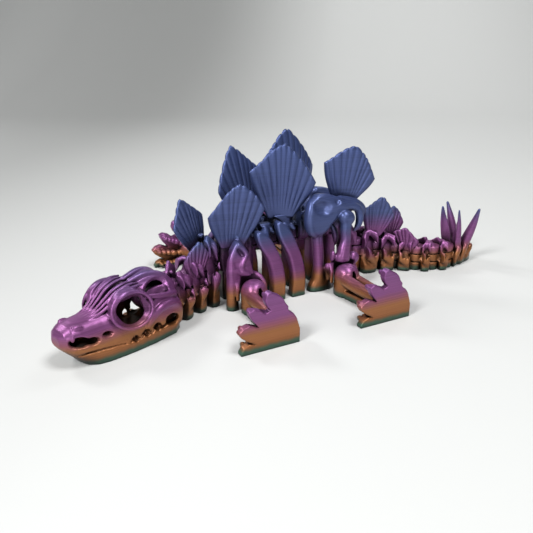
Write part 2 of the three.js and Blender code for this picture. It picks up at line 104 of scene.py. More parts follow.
class Clay:
    """Signed distances on a grid. With twin, only y >= 0 is worked and mirrored at the end."""

    FAR = 9.0                   # the field's value away from all forms

    def __init__(self, low, high, step=STEP, twin=True):
        self.step = step
        self.twin = twin
        self.low = np.array(low, dtype=float)
        if twin:
            self.low[1] = 0.0
        count = np.ceil((np.array(high) - self.low) / step).astype(int) + 1
        self.axes = [self.low[i] + step * np.arange(count[i]) for i in range(3)]
        self.field = np.full(tuple(count), self.FAR, dtype=np.float32)

    def window(self, low, high, margin=0.0):
        """The part of the grid inside a box: its slices and its x, y and z."""
        where = []
        for i in range(3):
            first = int(np.floor((low[i] - margin - self.low[i]) / self.step))
            last = int(np.ceil((high[i] + margin - self.low[i]) / self.step)) + 1
            size = len(self.axes[i])
            where.append(slice(min(max(first, 0), size), min(max(last, 0), size)))
        x = self.axes[0][where[0]][:, None, None]
        y = self.axes[1][where[1]][None, :, None]
        z = self.axes[2][where[2]][None, None, :]
        return tuple(where), x, y, z

    def add(self, form, blend=0.0, sign=1):
        """Joins a form to the clay, or takes it away where sign is -1. blend rounds the joint."""
        low, high, distance = form
        where, x, y, z = self.window(low, high, blend + 2 * self.step)
        if self.field[where].size:
            self.field[where] = sign * soft_min(sign * self.field[where], distance(x, y, z), blend)
        return self

    def cut(self, form, blend=0.0):
        return self.add(form, blend, -1)

    def trim(self, low, high, past):
        """Inside a box, takes away what lies past a face. past(x, y) is the distance beyond it."""
        where, x, y, _ = self.window(low, high)
        self.field[where] = np.maximum(self.field[where], past(x, y))
        return self

    def hollow(self, wall, floor):
        """Takes out the inside, a wall's thickness in, above the floor."""
        z = self.axes[2][None, None, :]
        inside = np.maximum(self.field + wall, floor - z)
        self.field = np.maximum(self.field, -inside)
        return self

    def on_bed(self):
        self.field = np.maximum(self.field, -self.axes[2][None, None, :].astype(np.float32))
        return self

    def faces(self):
        """Vertices and quads of the zero surface, with each vertex drawn on to it."""
        field, low = self.field, self.low.copy()
        if self.twin:
            field = np.concatenate([field[:, :0:-1, :], field], axis=1)
            low[1] = -(self.field.shape[1] - 1) * self.step
        cells, quads = surface_cells(field)
        points = edge_means(field, cells)
        points = drawn_to_surface(field, points)
        return low + points * self.step, quads


CORNERS = [(i, j, k) for i in (0, 1) for j in (0, 1) for k in (0, 1)]
EDGES = [(a, b) for a in CORNERS for b in CORNERS
         if sum(b) - sum(a) == 1 and all(p <= q for p, q in zip(a, b))]


def surface_cells(field):
    """Cells that the surface passes through, and the quads between them."""
    inside = field < 0
    count = np.zeros(tuple(n - 1 for n in field.shape), dtype=np.int8)
    for i, j, k in CORNERS:
        nx, ny, nz = count.shape
        count += inside[i:i + nx, j:j + ny, k:k + nz]
    active = (count > 0) & (count < 8)
    index = np.full(active.shape, -1, dtype=np.int64)
    index[active] = np.arange(int(active.sum()))
    quads = []
    for axis in range(3):
        u, v = (axis + 1) % 3, (axis + 2) % 3
        first = [slice(1, -1)] * 3
        second = [slice(1, -1)] * 3
        first[axis] = slice(0, -1)
        second[axis] = slice(1, None)
        a, b = inside[tuple(first)], inside[tuple(second)]
        step_u = np.eye(3, dtype=int)[u]
        step_v = np.eye(3, dtype=int)[v]
        offset = step_u + step_v
        for where, flip in ((a & ~b, False), (~a & b, True)):
            p = np.argwhere(where) + offset
            ring = [p - step_u - step_v, p - step_v, p, p - step_u]
            quad = np.stack([index[tuple(c.T)] for c in ring], axis=1)
            quads.append(quad[:, ::-1] if flip else quad)
    return np.argwhere(active), np.concatenate(quads)


def edge_means(field, cells):
    """For each cell, the mean of the points where the surface crosses its edges."""
    total = np.zeros((len(cells), 3))
    number = np.zeros(len(cells))
    for a, b in EDGES:
        fa = field[tuple((cells + a).T)]
        fb = field[tuple((cells + b).T)]
        crossed = (fa < 0) != (fb < 0)
        t = np.where(crossed, fa / np.where(crossed, fa - fb, 1.0), 0.0)
        point = np.array(a) + t[:, None] * (np.array(b) - np.array(a))
        total += np.where(crossed[:, None], point, 0.0)
        number += crossed
    return cells + total / number[:, None]


def sampled(field, points):
    """The field between the grid's points."""
    top = np.array(field.shape) - 1.001
    points = np.clip(points, 0.0, top)
    base = points.astype(int)
    part = points - base
    value = np.zeros(len(points))
    for i, j, k in CORNERS:
        weight = (part[:, 0] if i else 1 - part[:, 0]) * (part[:, 1] if j else 1 - part[:, 1])
        weight = weight * (part[:, 2] if k else 1 - part[:, 2])
        value += weight * field[base[:, 0] + i, base[:, 1] + j, base[:, 2] + k]
    return value


def drawn_to_surface(field, points, rounds=2, reach=0.5):
    for _ in range(rounds):
        value = sampled(field, points)
        slope = np.stack([
            sampled(field, points + 0.5 * axis) - sampled(field, points - 0.5 * axis)
            for axis in np.eye(3)
        ], axis=1)
        size = np.maximum((slope ** 2).sum(axis=1), 1e-4)
        move = -slope * (value / size)[:, None]
        length = np.maximum(np.linalg.norm(move, axis=1), 1e-9)
        points = points + move * np.minimum(1.0, reach / length)[:, None]
    return points


# ---- Forms: each is (lowest corner, highest corner, distance function) ------


def turned(degrees):
    """Rotation matrix for turns about x, then y, then z."""
    turns = [Matrix.Rotation(math.radians(d), 3, axis) for d, axis in zip(degrees, "XYZ")]
    return np.array(turns[2] @ turns[1] @ turns[0])


def blob(centre, radii, turn=(0, 0, 0)):
    """An ellipsoid, turned in degrees."""
    c, r = np.array(centre, float), np.array(radii, float)
    m = turned(turn)
    reach = (np.abs(m) @ r) if any(turn) else r

    def distance(x, y, z):
        px, py, pz = x - c[0], y - c[1], z - c[2]
        own = [(m[0, i] * px + m[1, i] * py + m[2, i] * pz) / r[i] for i in range(3)]
        k0 = np.sqrt(sum(u * u for u in own))
        k1 = np.sqrt(sum((u / a) ** 2 for u, a in zip(own, r)))
        return k0 * (k0 - 1.0) / np.maximum(k1, 1e-6)

    return c - reach, c + reach, distance


def span_points(a, b, c, d, parts=4):
    """Points of a Catmull-Rom span that runs from b to c, without its end."""
    return [0.5 * (2 * b + (c - a) * t + (2 * a - 5 * b + 4 * c - d) * t * t
                   + (3 * b - a - 3 * c + d) * t ** 3) for t in np.arange(parts) / parts]


def curve(points):
    """Points of a smooth line through the given ones."""
    p = np.array(points, float)
    p = np.concatenate([[2 * p[0] - p[1]], p, [2 * p[-1] - p[-2]]])
    out = []
    for i in range(1, len(p) - 2):
        out += span_points(*p[i - 1:i + 3])
    out.append(p[-2])
    return np.array(out)


def rounded(outline):
    """A closed outline with its corners smoothed."""
    p = np.array(outline, float)
    n = len(p)
    out = []
    for i in range(n):
        out += span_points(p[i - 1], p[i], p[(i + 1) % n], p[(i + 2) % n])
    return np.array(out)


def tube(points, radii, stretch=(1, 1, 1)):
    """A round bar of changing radius along a smooth line. stretch flattens or widens its section."""
    line = curve([tuple(p) + (r,) for p, r in zip(points, radii)])
    s = np.array(stretch, float)
    path, radius = line[:, :3], np.maximum(line[:, 3], 0.2)
    reach = radius.max() * s

    def distance(x, y, z):
        best = None
        px, py, pz = x / s[0], y / s[1], z / s[2]
        for a, b, ra, rb in zip(path[:-1] / s, path[1:] / s, radius[:-1], radius[1:]):
            d = b - a
            t = ((px - a[0]) * d[0] + (py - a[1]) * d[1] + (pz - a[2]) * d[2]) / max(d @ d, 1e-9)
            t = np.clip(t, 0.0, 1.0)
            gap = np.sqrt((px - a[0] - t * d[0]) ** 2 + (py - a[1] - t * d[1]) ** 2
                          + (pz - a[2] - t * d[2]) ** 2) - (ra + (rb - ra) * t)
            best = gap if best is None else np.minimum(best, gap)
        return best * s.min()

    return path.min(axis=0) - reach, path.max(axis=0) + reach, distance


def rounded_edge(side, deep, rounding):
    """Distance to a form from the distances to its side and to its ends, both taken in by rounding."""
    out = np.sqrt(np.maximum(side, 0) ** 2 + np.maximum(deep, 0) ** 2)
    return out + np.minimum(np.maximum(side, deep), 0) - rounding


def outline_distance(outline, u, v):
    """Signed distance in a plane to a closed outline."""
    best = None
    inside = np.zeros(np.broadcast(u, v).shape, dtype=bool)
    points = np.array(outline, float)
    for a, b in zip(points, np.roll(points, -1, axis=0)):
        e = b - a
        wu, wv = u - a[0], v - a[1]
        t = np.clip((wu * e[0] + wv * e[1]) / (e @ e), 0.0, 1.0)
        gap = (wu - e[0] * t) ** 2 + (wv - e[1] * t) ** 2
        best = gap if best is None else np.minimum(best, gap)
        if a[1] != b[1]:
            crosses = ((a[1] > v) != (b[1] > v)) & (u < e[0] * (v - a[1]) / e[1] + a[0])
            inside = inside ^ crosses
    return np.where(inside, -1.0, 1.0) * np.sqrt(best)


def slab(outline, low, high, across, rounding=0.6, sway=((0, 0), (1, 0))):
    """An outline in the two axes other than across, filling across from low to high.

    sway moves it along that axis by an amount given at several heights.
    """
    points = np.array(outline, float)
    least, most = points.min(axis=0), points.max(axis=0)
    order = [i for i in range(3) if i != across]
    corner_low, corner_high = np.zeros(3), np.zeros(3)
    corner_low[order], corner_high[order] = least, most
    heights, moves = zip(*sway)
    corner_low[across], corner_high[across] = low + min(moves), high + max(moves)

    def distance(x, y, z):
        grid = (x, y, z)
        flat = outline_distance(points, grid[order[0]], grid[order[1]]) + rounding
        deep = np.abs(grid[across] - np.interp(z, heights, moves) - (low + high) / 2)
        return rounded_edge(flat, deep - (high - low) / 2 + rounding, rounding)

    return corner_low, corner_high, distance


def pillar(stations, centre=(0.0, 0.0), power=2.6):
    """An upright form: stations are (height, half length in x, half width in y)."""
    s = np.array(stations, float)
    zs, a, b = s[:, 0], s[:, 1], s[:, 2]
    low = (centre[0] - a.max(), centre[1] - b.max(), zs[0])
    high = (centre[0] + a.max(), centre[1] + b.max(), zs[-1])

    def distance(x, y, z):
        aa, bb = np.interp(z, zs, a), np.interp(z, zs, b)
        r = (np.abs((x - centre[0]) / aa) ** power + np.abs((y - centre[1]) / bb) ** power)
        side = (r ** (1 / power) - 1.0) * np.minimum(aa, bb)
        return np.maximum(side, np.maximum(zs[0] - z, z - zs[-1]))

    return np.array(low), np.array(high), distance


def loft(stations, power=2.4):
    """A form along x: stations are (x, half width, bottom, top)."""
    s = np.array(stations, float)
    xs = s[:, 0]
    low = (xs[0], -s[:, 1].max(), s[:, 2].min())
    high = (xs[-1], s[:, 1].max(), s[:, 3].max())

    def distance(x, y, z):
        w = np.interp(x, xs, s[:, 1])
        mid = np.interp(x, xs, (s[:, 2] + s[:, 3]) / 2)
        h = np.interp(x, xs, (s[:, 3] - s[:, 2]) / 2)
        r = (np.abs(y / w) ** power + np.abs((z - mid) / h) ** power) ** (1 / power)
        return np.maximum((r - 1.0) * np.minimum(w, h), np.maximum(xs[0] - x, x - xs[-1]))

    return np.array(low), np.array(high), distance


def hoop(centre, normal, across, along, thick):
    """An oval ring about the normal. across is its half size level with the ground."""
    c = np.array(centre, float)
    n = np.array(normal, float) / np.linalg.norm(normal)
    u = np.cross((0, 0, 1), n)
    u = u / np.linalg.norm(u)
    v = np.cross(n, u)
    reach = max(across, along) + thick
    mean = (across + along) / 2

    def distance(x, y, z):
        px, py, pz = x - c[0], y - c[1], z - c[2]
        pu = (px * u[0] + py * u[1] + pz * u[2]) / across
        pv = (px * v[0] + py * v[1] + pz * v[2]) / along
        pn = px * n[0] + py * n[1] + pz * n[2]
        return np.sqrt((np.sqrt(pu ** 2 + pv ** 2) * mean - mean) ** 2 + pn ** 2) - thick

    return c - reach, c + reach, distance


def drum(x, y, radius, low, high, rounding=0.4):
    """An upright cylinder with rounded rims."""

    def distance(px, py, pz):
        side = np.sqrt((px - x) ** 2 + (py - y) ** 2) - radius + rounding
        deep = np.abs(pz - (low + high) / 2) - (high - low) / 2 + rounding
        return rounded_edge(side, deep, rounding)

    return (x - radius, y - radius, low), (x + radius, y + radius, high), distance


# ---- Hinges ----------------------------------------------------------------

# Heights of each hinge's lowest and highest point. tail_3 is also that of the links after it.
HINGES = {
    "skull": (5, 18), "neck_1": (6, 19), "neck_2": (12, 25), "neck_3": (20, 33),
    "trunk": (29, 42), "tail_1": (9, 22), "tail_2": (5, 17), "tail_3": (3, 14),
}


def past_face(x, facing, sweep, slope=1.0):
    """How far a point is past a link's end at a hinge: two planes that open away from the axis."""
    return lambda px, py: ((px - x) * facing + HINGE_GAP + sweep * np.abs(py)) / slope


def end_face(clay, x, facing, height, low=None, high=None):
    """Trims a neck or tail link's end, or only the part of it in a box."""
    past = past_face(x, facing, HINGE_SWEEP, math.hypot(1.0, HINGE_SWEEP))
    return clay.trim(low or (x - 12, -16, -1), high or (x + 12, 16, height), past)


def trunk_face(clay, x, facing):
    """Trims a trunk link's end, near the backbone only."""
    low, high = HINGES["trunk"]
    return clay.trim((x - 8, 0, low - 6), (x + 8, 9.5, high + 1), past_face(x, facing, TRUNK_SWEEP))


def socket(clay, x, span, cap=LUG_RADIUS, top=0.0, foot=0.0):
    """The rear half of a hinge: two lugs round the hollow that a knuckle turns in.

    cap widens the upper lug, which reaches up to top. foot is the radius of a disc on the bed.
    """
    low, high = span
    clay.cut(drum(x, 0, max(SOCKET_RADIUS, foot + 0.3), low + LUG_HEIGHT, high - LUG_HEIGHT, 0.2))
    clay.add(drum(x, 0, LUG_RADIUS, low, low + LUG_HEIGHT))
    clay.add(drum(x, 0, cap, high - LUG_HEIGHT, max(high, top), 1.2))
    if foot:
        clay.add(drum(x, 0, foot, BURIED, low + LUG_HEIGHT, 0.3))
    return clay


def knuckle(clay, span, cap=LUG_RADIUS, foot=0.0):
    """The front half: an eye on the link's own origin, clear of the lugs of the link ahead."""
    low, high = span
    start = -5 if foot else low - KNUCKLE_ROOM
    overlap = 0.1
    low, high = low + LUG_HEIGHT, high - LUG_HEIGHT
    clay.cut(drum(0, 0, max(foot, LUG_RADIUS) + KNUCKLE_ROOM, start, low + (KNUCKLE_PLAY + overlap), 0.2))
    clay.cut(drum(0, 0, cap + KNUCKLE_ROOM, high - (KNUCKLE_PLAY + overlap), OVER_ALL, 0.2))
    clay.add(drum(0, 0, max(KNUCKLE_RADIUS, foot - 0.4), low + KNUCKLE_PLAY, high - KNUCKLE_PLAY))
    return clay


# ---- Vertebrae of the neck and the tail --------------------------------------


def vertebra(length, wide, top, own, after, caps, feet, rise):
    """A spool with a flared foot. Two petals twist up from it, with dark hollows between them.

    own and after name its two hinges. caps and feet are the radii of their upper lugs and of their
    discs on the bed, and rise is the height of the upper lug of its own socket.
    """
    half = length / 2
    clay = Clay((-6, -16, -1), (length + 7, 16, top + 4))

    def at(a, b, c):
        return (a * length, b * wide, c * top)

    clay.add(pillar([
        (0, half + 0.4, wide * 0.98), (0.08 * top, half + 1.2, wide * 1.06),
        (0.22 * top, half + 0.9, wide * 1.02), (0.34 * top, half + 0.2, wide * 0.84),
        (0.48 * top, half * 0.86, wide * 0.62), (0.62 * top, half * 0.8, wide * 0.56),
        (0.76 * top, half * 0.8, wide * 0.5), (0.88 * top, half * 0.5, wide * 0.34),
    ], (half, 0), 2.3))
    # The two petals, and a shoulder that joins them to the top.
    clay.add(tube([at(0.78, 0.86, 0.14), at(0.56, 0.98, 0.32), at(0.26, 1.06, 0.54), at(0.02, 0.92, 0.7)],
                  [1.9, 2.2, 2.8, 1.8], (1.15, 0.75, 1)), 0.9)
    clay.add(tube([at(0.6, 0.9, 0.26), at(0.86, 1.02, 0.46), at(1.02, 0.96, 0.66), at(0.86, 0.72, 0.86),
                   at(0.58, 0.4, 0.98)], [1.7, 2.3, 2.9, 2.8, 1.7], (1.1, 0.75, 1.1)), 0.9)
    clay.add(tube([at(0.04, 0.66, 0.66), at(0.26, 0.54, 0.84), at(0.5, 0.24, 0.98)], [2.6, 2.8, 1.8]), 1.2)
    # Hollows between and beside them.
    clay.cut(blob(at(0.54, 1.1, 0.62), (0.09 * length, 0.36 * wide, 0.15 * top), (0, 30, 0)), 0.7)
    clay.cut(blob(at(0.82, 1.2, 0.66), (0.9, 1.7, 2.6), (0, 24, 0)), 0.5)
    clay.cut(blob(at(0.14, 1.1, 0.32), (1.6, 1.8, 3), (0, -24, 0)), 0.6)
    clay.cut(blob(at(0.94, 1.1, 0.26), (1.4, 1.8, 2.8), (0, 28, 0)), 0.6)
    end_face(clay, length, 1, top + 5)
    socket(clay, length, HINGES[after], caps[1], rise, feet[1])
    clay.add(blob((length - 0.6, 2.6, rise + 0.2), (3, 2.3, 2), (0, 24, 0)), 0.8)
    clay.add(blob((length - 2.4, 0, rise + 0.8), (2.2, 1.6, 2.2)), 0.8)
    end_face(clay, 0, -1, top + 5)
    knuckle(clay, HINGES[own], caps[0], feet[0])
    return clay.on_bed()


def tail_tip():
    """The last link: a knobbly tapering tail end, with four spikes."""
    clay = Clay((-6, -17, -1), (34, 17, 45))
    clay.add(loft([(-1, 5.8, -5, 11), (5, 7, -5, 13), (9, 6.2, -5, 12), (13.5, 7, -5, 13.4),
                   (18, 5.6, -5, 11.2), (21.5, 6, -5, 11.6), (26, 4.2, -5, 9), (31, 1.4, -3, 5)], 2.3))
    for x, size in ((4.5, 1), (12.5, 1), (20.5, 0.8)):
        petal = [(x - 2, 6.6 * size, 2), (x - 0.4, 7 * size, 8 * size),
                 (x + 2.2, 6.8 * size, 12.6 * size), (x + 4.2, 4.4 * size, 14 * size)]
        clay.add(tube(petal, [1.5, 1.9, 2.2, 1.5], (1, 0.8, 1)), 1)
        clay.add(blob((x + 0.6, 1.6, 14.4 * size), (2.6, 1.9, 2.3)), 1)
        clay.add(blob((x + 3.6, 4.4, 13.6 * size), (2, 1.8, 1.7)), 0.8)
        clay.cut(blob((x + 3.2, 8 * size, 6.5), (1.6, 2.2, 3.2), (0, 20, 0)), 1)
    front_spike = [(8.6, 2.6, 11), (6.4, 4, 19), (4, 5.4, 30), (2, 6.3, 40.6)]
    rear_spike = [(16.3, 2.8, 10), (17.2, 5.6, 18.5), (17.6, 9, 29), (16.7, 12.6, 40.2)]
    for spike in (front_spike, rear_spike):
        clay.add(tube(spike, [3.5, 3.4, 2.5, 0.9]), 0.8)
    end_face(clay, 0, -1, 20)
    knuckle(clay, HINGES["tail_3"], 5.8, 5.8)
    return clay.on_bed()


# ---- Trunk -----------------------------------------------------------------


def backbone(clay, x, low, high, wide):
    """One trunk vertebra: a waisted body, side wings and a spine."""
    middle = (low + high) / 2
    clay.add(blob((x, 0, middle), (5.6, wide * 0.62, (high - low) / 2 + 1.5)), 0)
    for end in (x - 2.8, x + 2.8):
        clay.add(blob((end, 0, middle), (2.8, wide * 0.8, (high - low) / 2 + 0.5)), 1.5)
    wing = [(x, 3, high - 2), (x - 1, wide, high), (x - 2.5, wide + 2.4, high - 1.5)]
    clay.add(tube(wing, [2.6, 2.2, 1.2]), 1.5)
    clay.add(tube([(x, 0, high - 2), (x - 0.5, 0, high + 4)], [3.2, 2]), 1.5)
    return clay


def prop(clay, x, half_length, half_width=5):
    """A plain pillar from the bed up to the backbone."""
    size = (half_length, half_width)
    return clay.add(pillar([(BURIED, *size), (31, *size)], (x, 0), 5), 0.6)


# A rib seen from the side: height, x of its middle, half its width.
RIB_LINE = [
    (BURIED, 6.4, 4.7), (0, 6.4, 5), (3, 6.3, 4.8), (8, 6.2, 4.6), (13, 6.3, 4.5), (20, 7.3, 4.4),
    (26, 8.7, 4.4), (31, 10.3, 4.5), (36, 12, 4.7), (40, 13.2, 4.7), (44, 14.4, 4.3), (48, 15.8, 3.2),
    (RIB_TOP, 17, 1.2),
]
# The same rib seen from the front: height, y of its middle.
RIB_SWAY = ((0, 17.8), (10, 18.4), (20, 18.4), (30, 17.2), (40, 14.6), (RIB_TOP, 11))


def rib_segment(apex, collar):
    """One pair of ribs up to apex, on a vertebra that a pillar holds up.

    collar is the x at which the plate's seat ends.
    """
    low, high = HINGES["trunk"]
    clay = Clay((-6, -26, -1), (RIB_PITCH + 8, 26, 56))
    prop(clay, 3.4, 2)
    backbone(clay, RIB_PITCH / 2, low, high, 7.4)
    full = RIB_TOP - RIB_BEND
    bent = full - (RIB_TOP - apex)
    line = [(z if z < RIB_BEND else RIB_BEND + (z - RIB_BEND) * bent / full, x, w) for z, x, w in RIB_LINE]
    outline = [(x + w, z) for z, x, w in line] + [(x - w, z) for z, x, w in reversed(line)]
    clay.add(slab(rounded(outline), -3.1, 3.1, Y, 1.6, sway=RIB_SWAY), 0.8)
    clay.add(tube([(6.5, 2.5, high - 3), (9.5, 7, high), (12, 12.5, high - 2)], [3.2, 3.2, 2.8]), 1.5)
    seat = [(7.5, 38), (12.5, 38), (12.9, 45.6), (collar, apex + 2.4), (5.4, apex + 2.4)]
    clay.add(slab(seat, 4, 9, Y, 1), 0.6)
    trunk_face(clay, 0, -1)
    trunk_face(clay, RIB_PITCH, 1)
    socket(clay, RIB_PITCH, (low, high))
    knuckle(clay, (low, high))
    return clay.on_bed()


def leg_hoop(clay, hip, top, drop, inner=8.2, outer=10.4):
    """A hood round the inner half of a leg's barrel, highest nearest the backbone."""
    x, y = hip
    corner_low = np.array((x - outer, y - outer, -2))
    corner_high = np.array((x + outer, y + 2, top))

    def distance(px, py, pz):
        # A ring's inner half, 8 mm deep, whose upper edge falls away outwards.
        r = np.sqrt((px - x) ** 2 + (py - y) ** 2)
        band = np.maximum(inner - r, r - outer)
        rise = top - drop * np.clip((py - y + outer) / outer, 0, 1.4) ** 2
        level = np.maximum(pz - rise, rise - 8 - pz) * 0.75
        return np.maximum(np.maximum(band, py - y + 2.5), level)

    return clay.add((corner_low, corner_high, distance), 0.8)


def shoulder_segment():
    """Two vertebrae, both shoulder blades with their columns, and the hoods over the front legs."""
    low, high = HINGES["trunk"]
    neck_low, neck_high = HINGES["neck_3"]
    clay = Clay((-6, -40, -1), (SHOULDER_LENGTH + 6, 40, 50))
    prop(clay, 3.4, 2)
    prop(clay, 18.2, 3.6, 4.6)
    backbone(clay, 6.5, low, high, 7.4)
    backbone(clay, 16.5, low - 2, high, 7.6)
    clay.add(pillar([(neck_low - 1, 3.4, 4.4), (neck_low + 5, 4.4, 5.6), (neck_high + 2, 4.6, 5.2),
                     (high, 3, 4)], (20, 0), 3), 1.5)
    # Shoulder blade: a faceted strap down to the hood and to a column on the bed.
    blade = [(17.2, 40), (12.2, 35.6), (11, 31), (10.2, 27), (9.2, 22.5), (7, 17.5), (14, 16),
             (21, 17), (24.8, 21), (25, 27), (24.2, 31.4), (21, 36.6)]
    blade_sway = ((16, 18.6), (24, 17.6), (32, 16.6), (40, 14.2))
    clay.add(slab(rounded(blade), -3.3, 3.3, Y, 2, sway=blade_sway), 1.2)
    # Ridges on the blade, and the hollows beside them.
    clay.add(tube([(17.2, 16.6, 38.6), (13.4, 18.8, 33.8), (14.6, 20.2, 30.6), (16.8, 20.9, 27),
                   (16.2, 21.3, 23.8), (13, 22, 21.6)], [1, 1.1, 1.1, 1, 1, 1.1]), 1.1)
    clay.add(tube([(22.4, 19.6, 29), (20.6, 20.6, 25.4), (18.4, 21.2, 22.8), (14.5, 21.8, 21.4)],
                  [0.7, 0.9, 1, 1]), 1)
    clay.cut(blob((19.6, 22, 29.4), (1.8, 2, 5), (0, -24, 0)), 1.2)
    clay.cut(blob((11.4, 22.4, 27), (2, 2.2, 3.8), (0, 14, 0)), 1.6)
    clay.cut(blob((16.8, 18.8, 34.4), (1.3, 2, 3), (0, 34, 0)), 1.2)
    # The column, the hood and a bar to the backbone.
    clay.add(tube([(22.3, 18.6, 24), (22.7, 19, 15), (22.5, 18.8, 7), (22.3, 18.4, -4)],
                  [3, 3.3, 3.6, 3.9], (1, 0.95, 1)), 1.6)
    leg_hoop(clay, SHOULDER_HIP, 22, 13.5)
    clay.add(tube([(15, 3, 36), (15, 9, 37), (15.5, 14, 36)], [3, 2.8, 2.6]), 1.5)
    # Room for the leg's barrel and for the neck.
    clay.cut(drum(*SHOULDER_HIP, BARREL_RADIUS + BARREL_ROOM, -1, 20.8, 0.2))
    end_face(clay, SHOULDER_LENGTH, 1, high + 6)
    socket(clay, SHOULDER_LENGTH, (neck_low, neck_high), 4, neck_high + 3)
    trunk_face(clay, 0, -1)
    knuckle(clay, (low, high))
    return clay.on_bed()


def pelvis_segment():
    """Four vertebrae, both hip bones, thighs and knees, and the hoods over the rear legs."""
    low, high = HINGES["trunk"]
    tail_low, tail_high = HINGES["tail_1"]
    clay = Clay((-6, -44, -1), (PELVIS_LENGTH + 6, 44, 66))
    prop(clay, 16, 4)
    prop(clay, 28, 3)
    for x in (7, 17, 27, 37):
        backbone(clay, x, low + 1, high + 5 - 0.1 * x, 7.4)
    # The sacrum, which comes down to the tail's first hinge.
    clay.add(tube([(36, 0, 36), (40.5, 0, 24), (41.5, 0, 10), (41.5, 0, -4)], [6, 5.4, 5, 6],
                  (0.95, 1.15, 1)), 2)
    clay.add(tube([(38, 3, 36), (43, 5.5, 29), (44.5, 6.5, 23)], [3.4, 3, 2]), 1.5)
    # Hip bone: a wide lobe in front, dished outside, and a strap that ends in a hook.
    lobe = [(7, 61.8), (3.8, 59.9), (1, 57.6), (-1, 53.5), (-2, 48.5), (-1.7, 43.5), (-0.2, 39.6),
            (2.4, 36.8), (5.6, 35.8), (9, 36.3), (13.4, 39), (16.8, 42.8), (20.6, 46.4), (25.4, 49.6),
            (27.5, 53), (24.5, 57.4), (18.5, 60.2), (12, 61.8)]
    lobe_sway = ((36, 17.8), (46, 18.2), (54, 17.4), (62, 14.8))
    clay.add(slab(rounded(lobe), -3.4, 4.4, Y, 3.6, sway=lobe_sway))
    clay.cut(blob((8.8, 23.2, 55.2), (7, 4.4, 5), (-12, 18, 0)), 1.6)
    clay.add(tube([(14, 18.4, 52), (20, 19.4, 54), (25.4, 19.6, 53.2), (31, 19.6, 52.6), (35.4, 19.9, 50.4),
                   (37, 20.3, 46.4), (36.6, 20.8, 42), (34.8, 21.2, 38.8), (32.2, 21.4, 36.9)],
                  [2.2, 3, 2.9, 2.6, 2.6, 2.6, 2.3, 1.7, 0.6]), 1.6)
    clay.cut(blob((19.8, 21.4, 57.4), (1.5, 1.6, 1.9), (0, 40, 0)), 1.2)
    clay.add(tube([(26, 14, 55.5), (33, 14.5, 54), (40, 14.5, 51), (44, 13.8, 47), (44.6, 12.8, 43)],
                  [3, 3, 2.8, 2.4, 1.2]), 1.6)
    clay.add(tube([(14, 4, 46), (16, 11, 50), (17, 15, 54)], [4, 3.8, 3.8], (1.6, 1, 1)), 2)
    clay.add(tube([(33, 4, 44), (34, 10, 48), (35, 15, 52)], [3.4, 3.2, 3], (1.4, 1, 1)), 2)
    # Thin bone behind the thigh.
    clay.add(tube([(18.3, 15.5, 42.6), (20.6, 16.6, 38), (21.6, 17.4, 33), (21.3, 17.6, 28.2)],
                  [1.1, 1.9, 1.9, 0.5]), 0.5)
    clay.add(tube([(14, 8, 45), (17, 13, 44), (18.3, 15.5, 42.6)], [3, 2.2, 1.4]), 1)
    # Thigh bone, knee and the hood over the shin's barrel.
    clay.add(blob((25.6, 22.6, 46.6), (5.7, 4, 4.6), (0, 20, 0)), 0.6)
    clay.add(tube([(25.4, 22.8, 46), (24.5, 23.6, 39), (24.3, 24.6, 33), (22.4, 25.6, 27), (21.6, 26, 22.5)],
                  [3.8, 3.5, 3.2, 4, 4.6], (1, 0.9, 1)), 0.8)
    clay.add(blob((21.2, 25.2, 22.6), (5, 4, 4)), 0.8)
    clay.add(blob((30, 25, 20.8), (4.1, 3.6, 4), (0, 14, 0)), 0.7)
    clay.add(blob((15, 24.4, 24), (1.6, 2, 3.5), (0, 6, 0)), 0.6)
    leg_hoop(clay, PELVIS_HIP, 21, 10)
    # Pubis column, its foot, and the strut from it to the hood.
    clay.add(tube([(7.6, 17.6, 40), (8.2, 17.2, 33), (9.2, 17, 26), (10, 16.9, 16), (10.2, 16.8, 8)],
                  [3.7, 3.6, 3.6, 3.6, 3.8], (1, 0.95, 1)), 0.3)
    clay.add(pillar([(-4, 8.6, 4.6), (1.5, 8.5, 4.6), (4.5, 7.4, 4.3), (8, 5.2, 3.8), (12, 4, 3.6),
                     (15, 3.5, 3.4)], (11, 16.6), 2.4), 1.5)
    clay.add(tube([(14, 17.5, 4), (16.6, 19.6, 10), (14, 22, 15.5), (12.4, 23.6, 17.5)],
                  [2.8, 2.4, 2.2, 2]), 1)
    clay.cut(blob((13.2, 21.5, 10.5), (1.6, 1.8, 3.4), (0, -16, 0)), 0.8)
    # Room for the shin's barrel, for the last rib pair and for the tail.
    clay.cut(drum(*PELVIS_HIP, BARREL_RADIUS + BARREL_ROOM, -1, 20.4, 0.2))
    trunk_face(clay, 0, -1)
    socket(clay, 0, (low, high))
    end_face(clay, PELVIS_LENGTH, 1, tail_high + 4)
    socket(clay, PELVIS_LENGTH, (tail_low, tail_high), 5.6, tail_high + 1.5, 5.8)
    return clay.on_bed()


# ---- Legs ------------------------------------------------------------------

# Outline of the sole plate, which stands on edge: y from the heel, height.
TOES = [
    (-33.5, BURIED), (0, BURIED), (0.1, 7.8), (-1, 11.4), (-2.2, 15), (-4, 17.6), (-6.4, 19.4),
    (-7.2, 20.4), (-6.7, 21.6), (-8.6, 24), (-9.9, 26.8), (-12, 28.9), (-14.7, 30.2), (-16.4, 31.4),
    (-18, 31.8),
    (-19.6, 30.4), (-20.3, 27.2), (-19.2, 24.4), (-17, 21.6), (-20.2, 20.6), (-23, 23), (-26.6, 24.2),
    (-29.3, 23.2), (-28.7, 20.6), (-26.6, 17.2), (-23.2, 13.2), (-26.4, 15), (-29.2, 16), (-32.6, 15),
    (-35.2, 12.6), (-33.4, 9.8), (-29.6, 7), (-25, 4.4), (-29, 5.6), (-32.6, 4), (-34.2, 1.4),
]
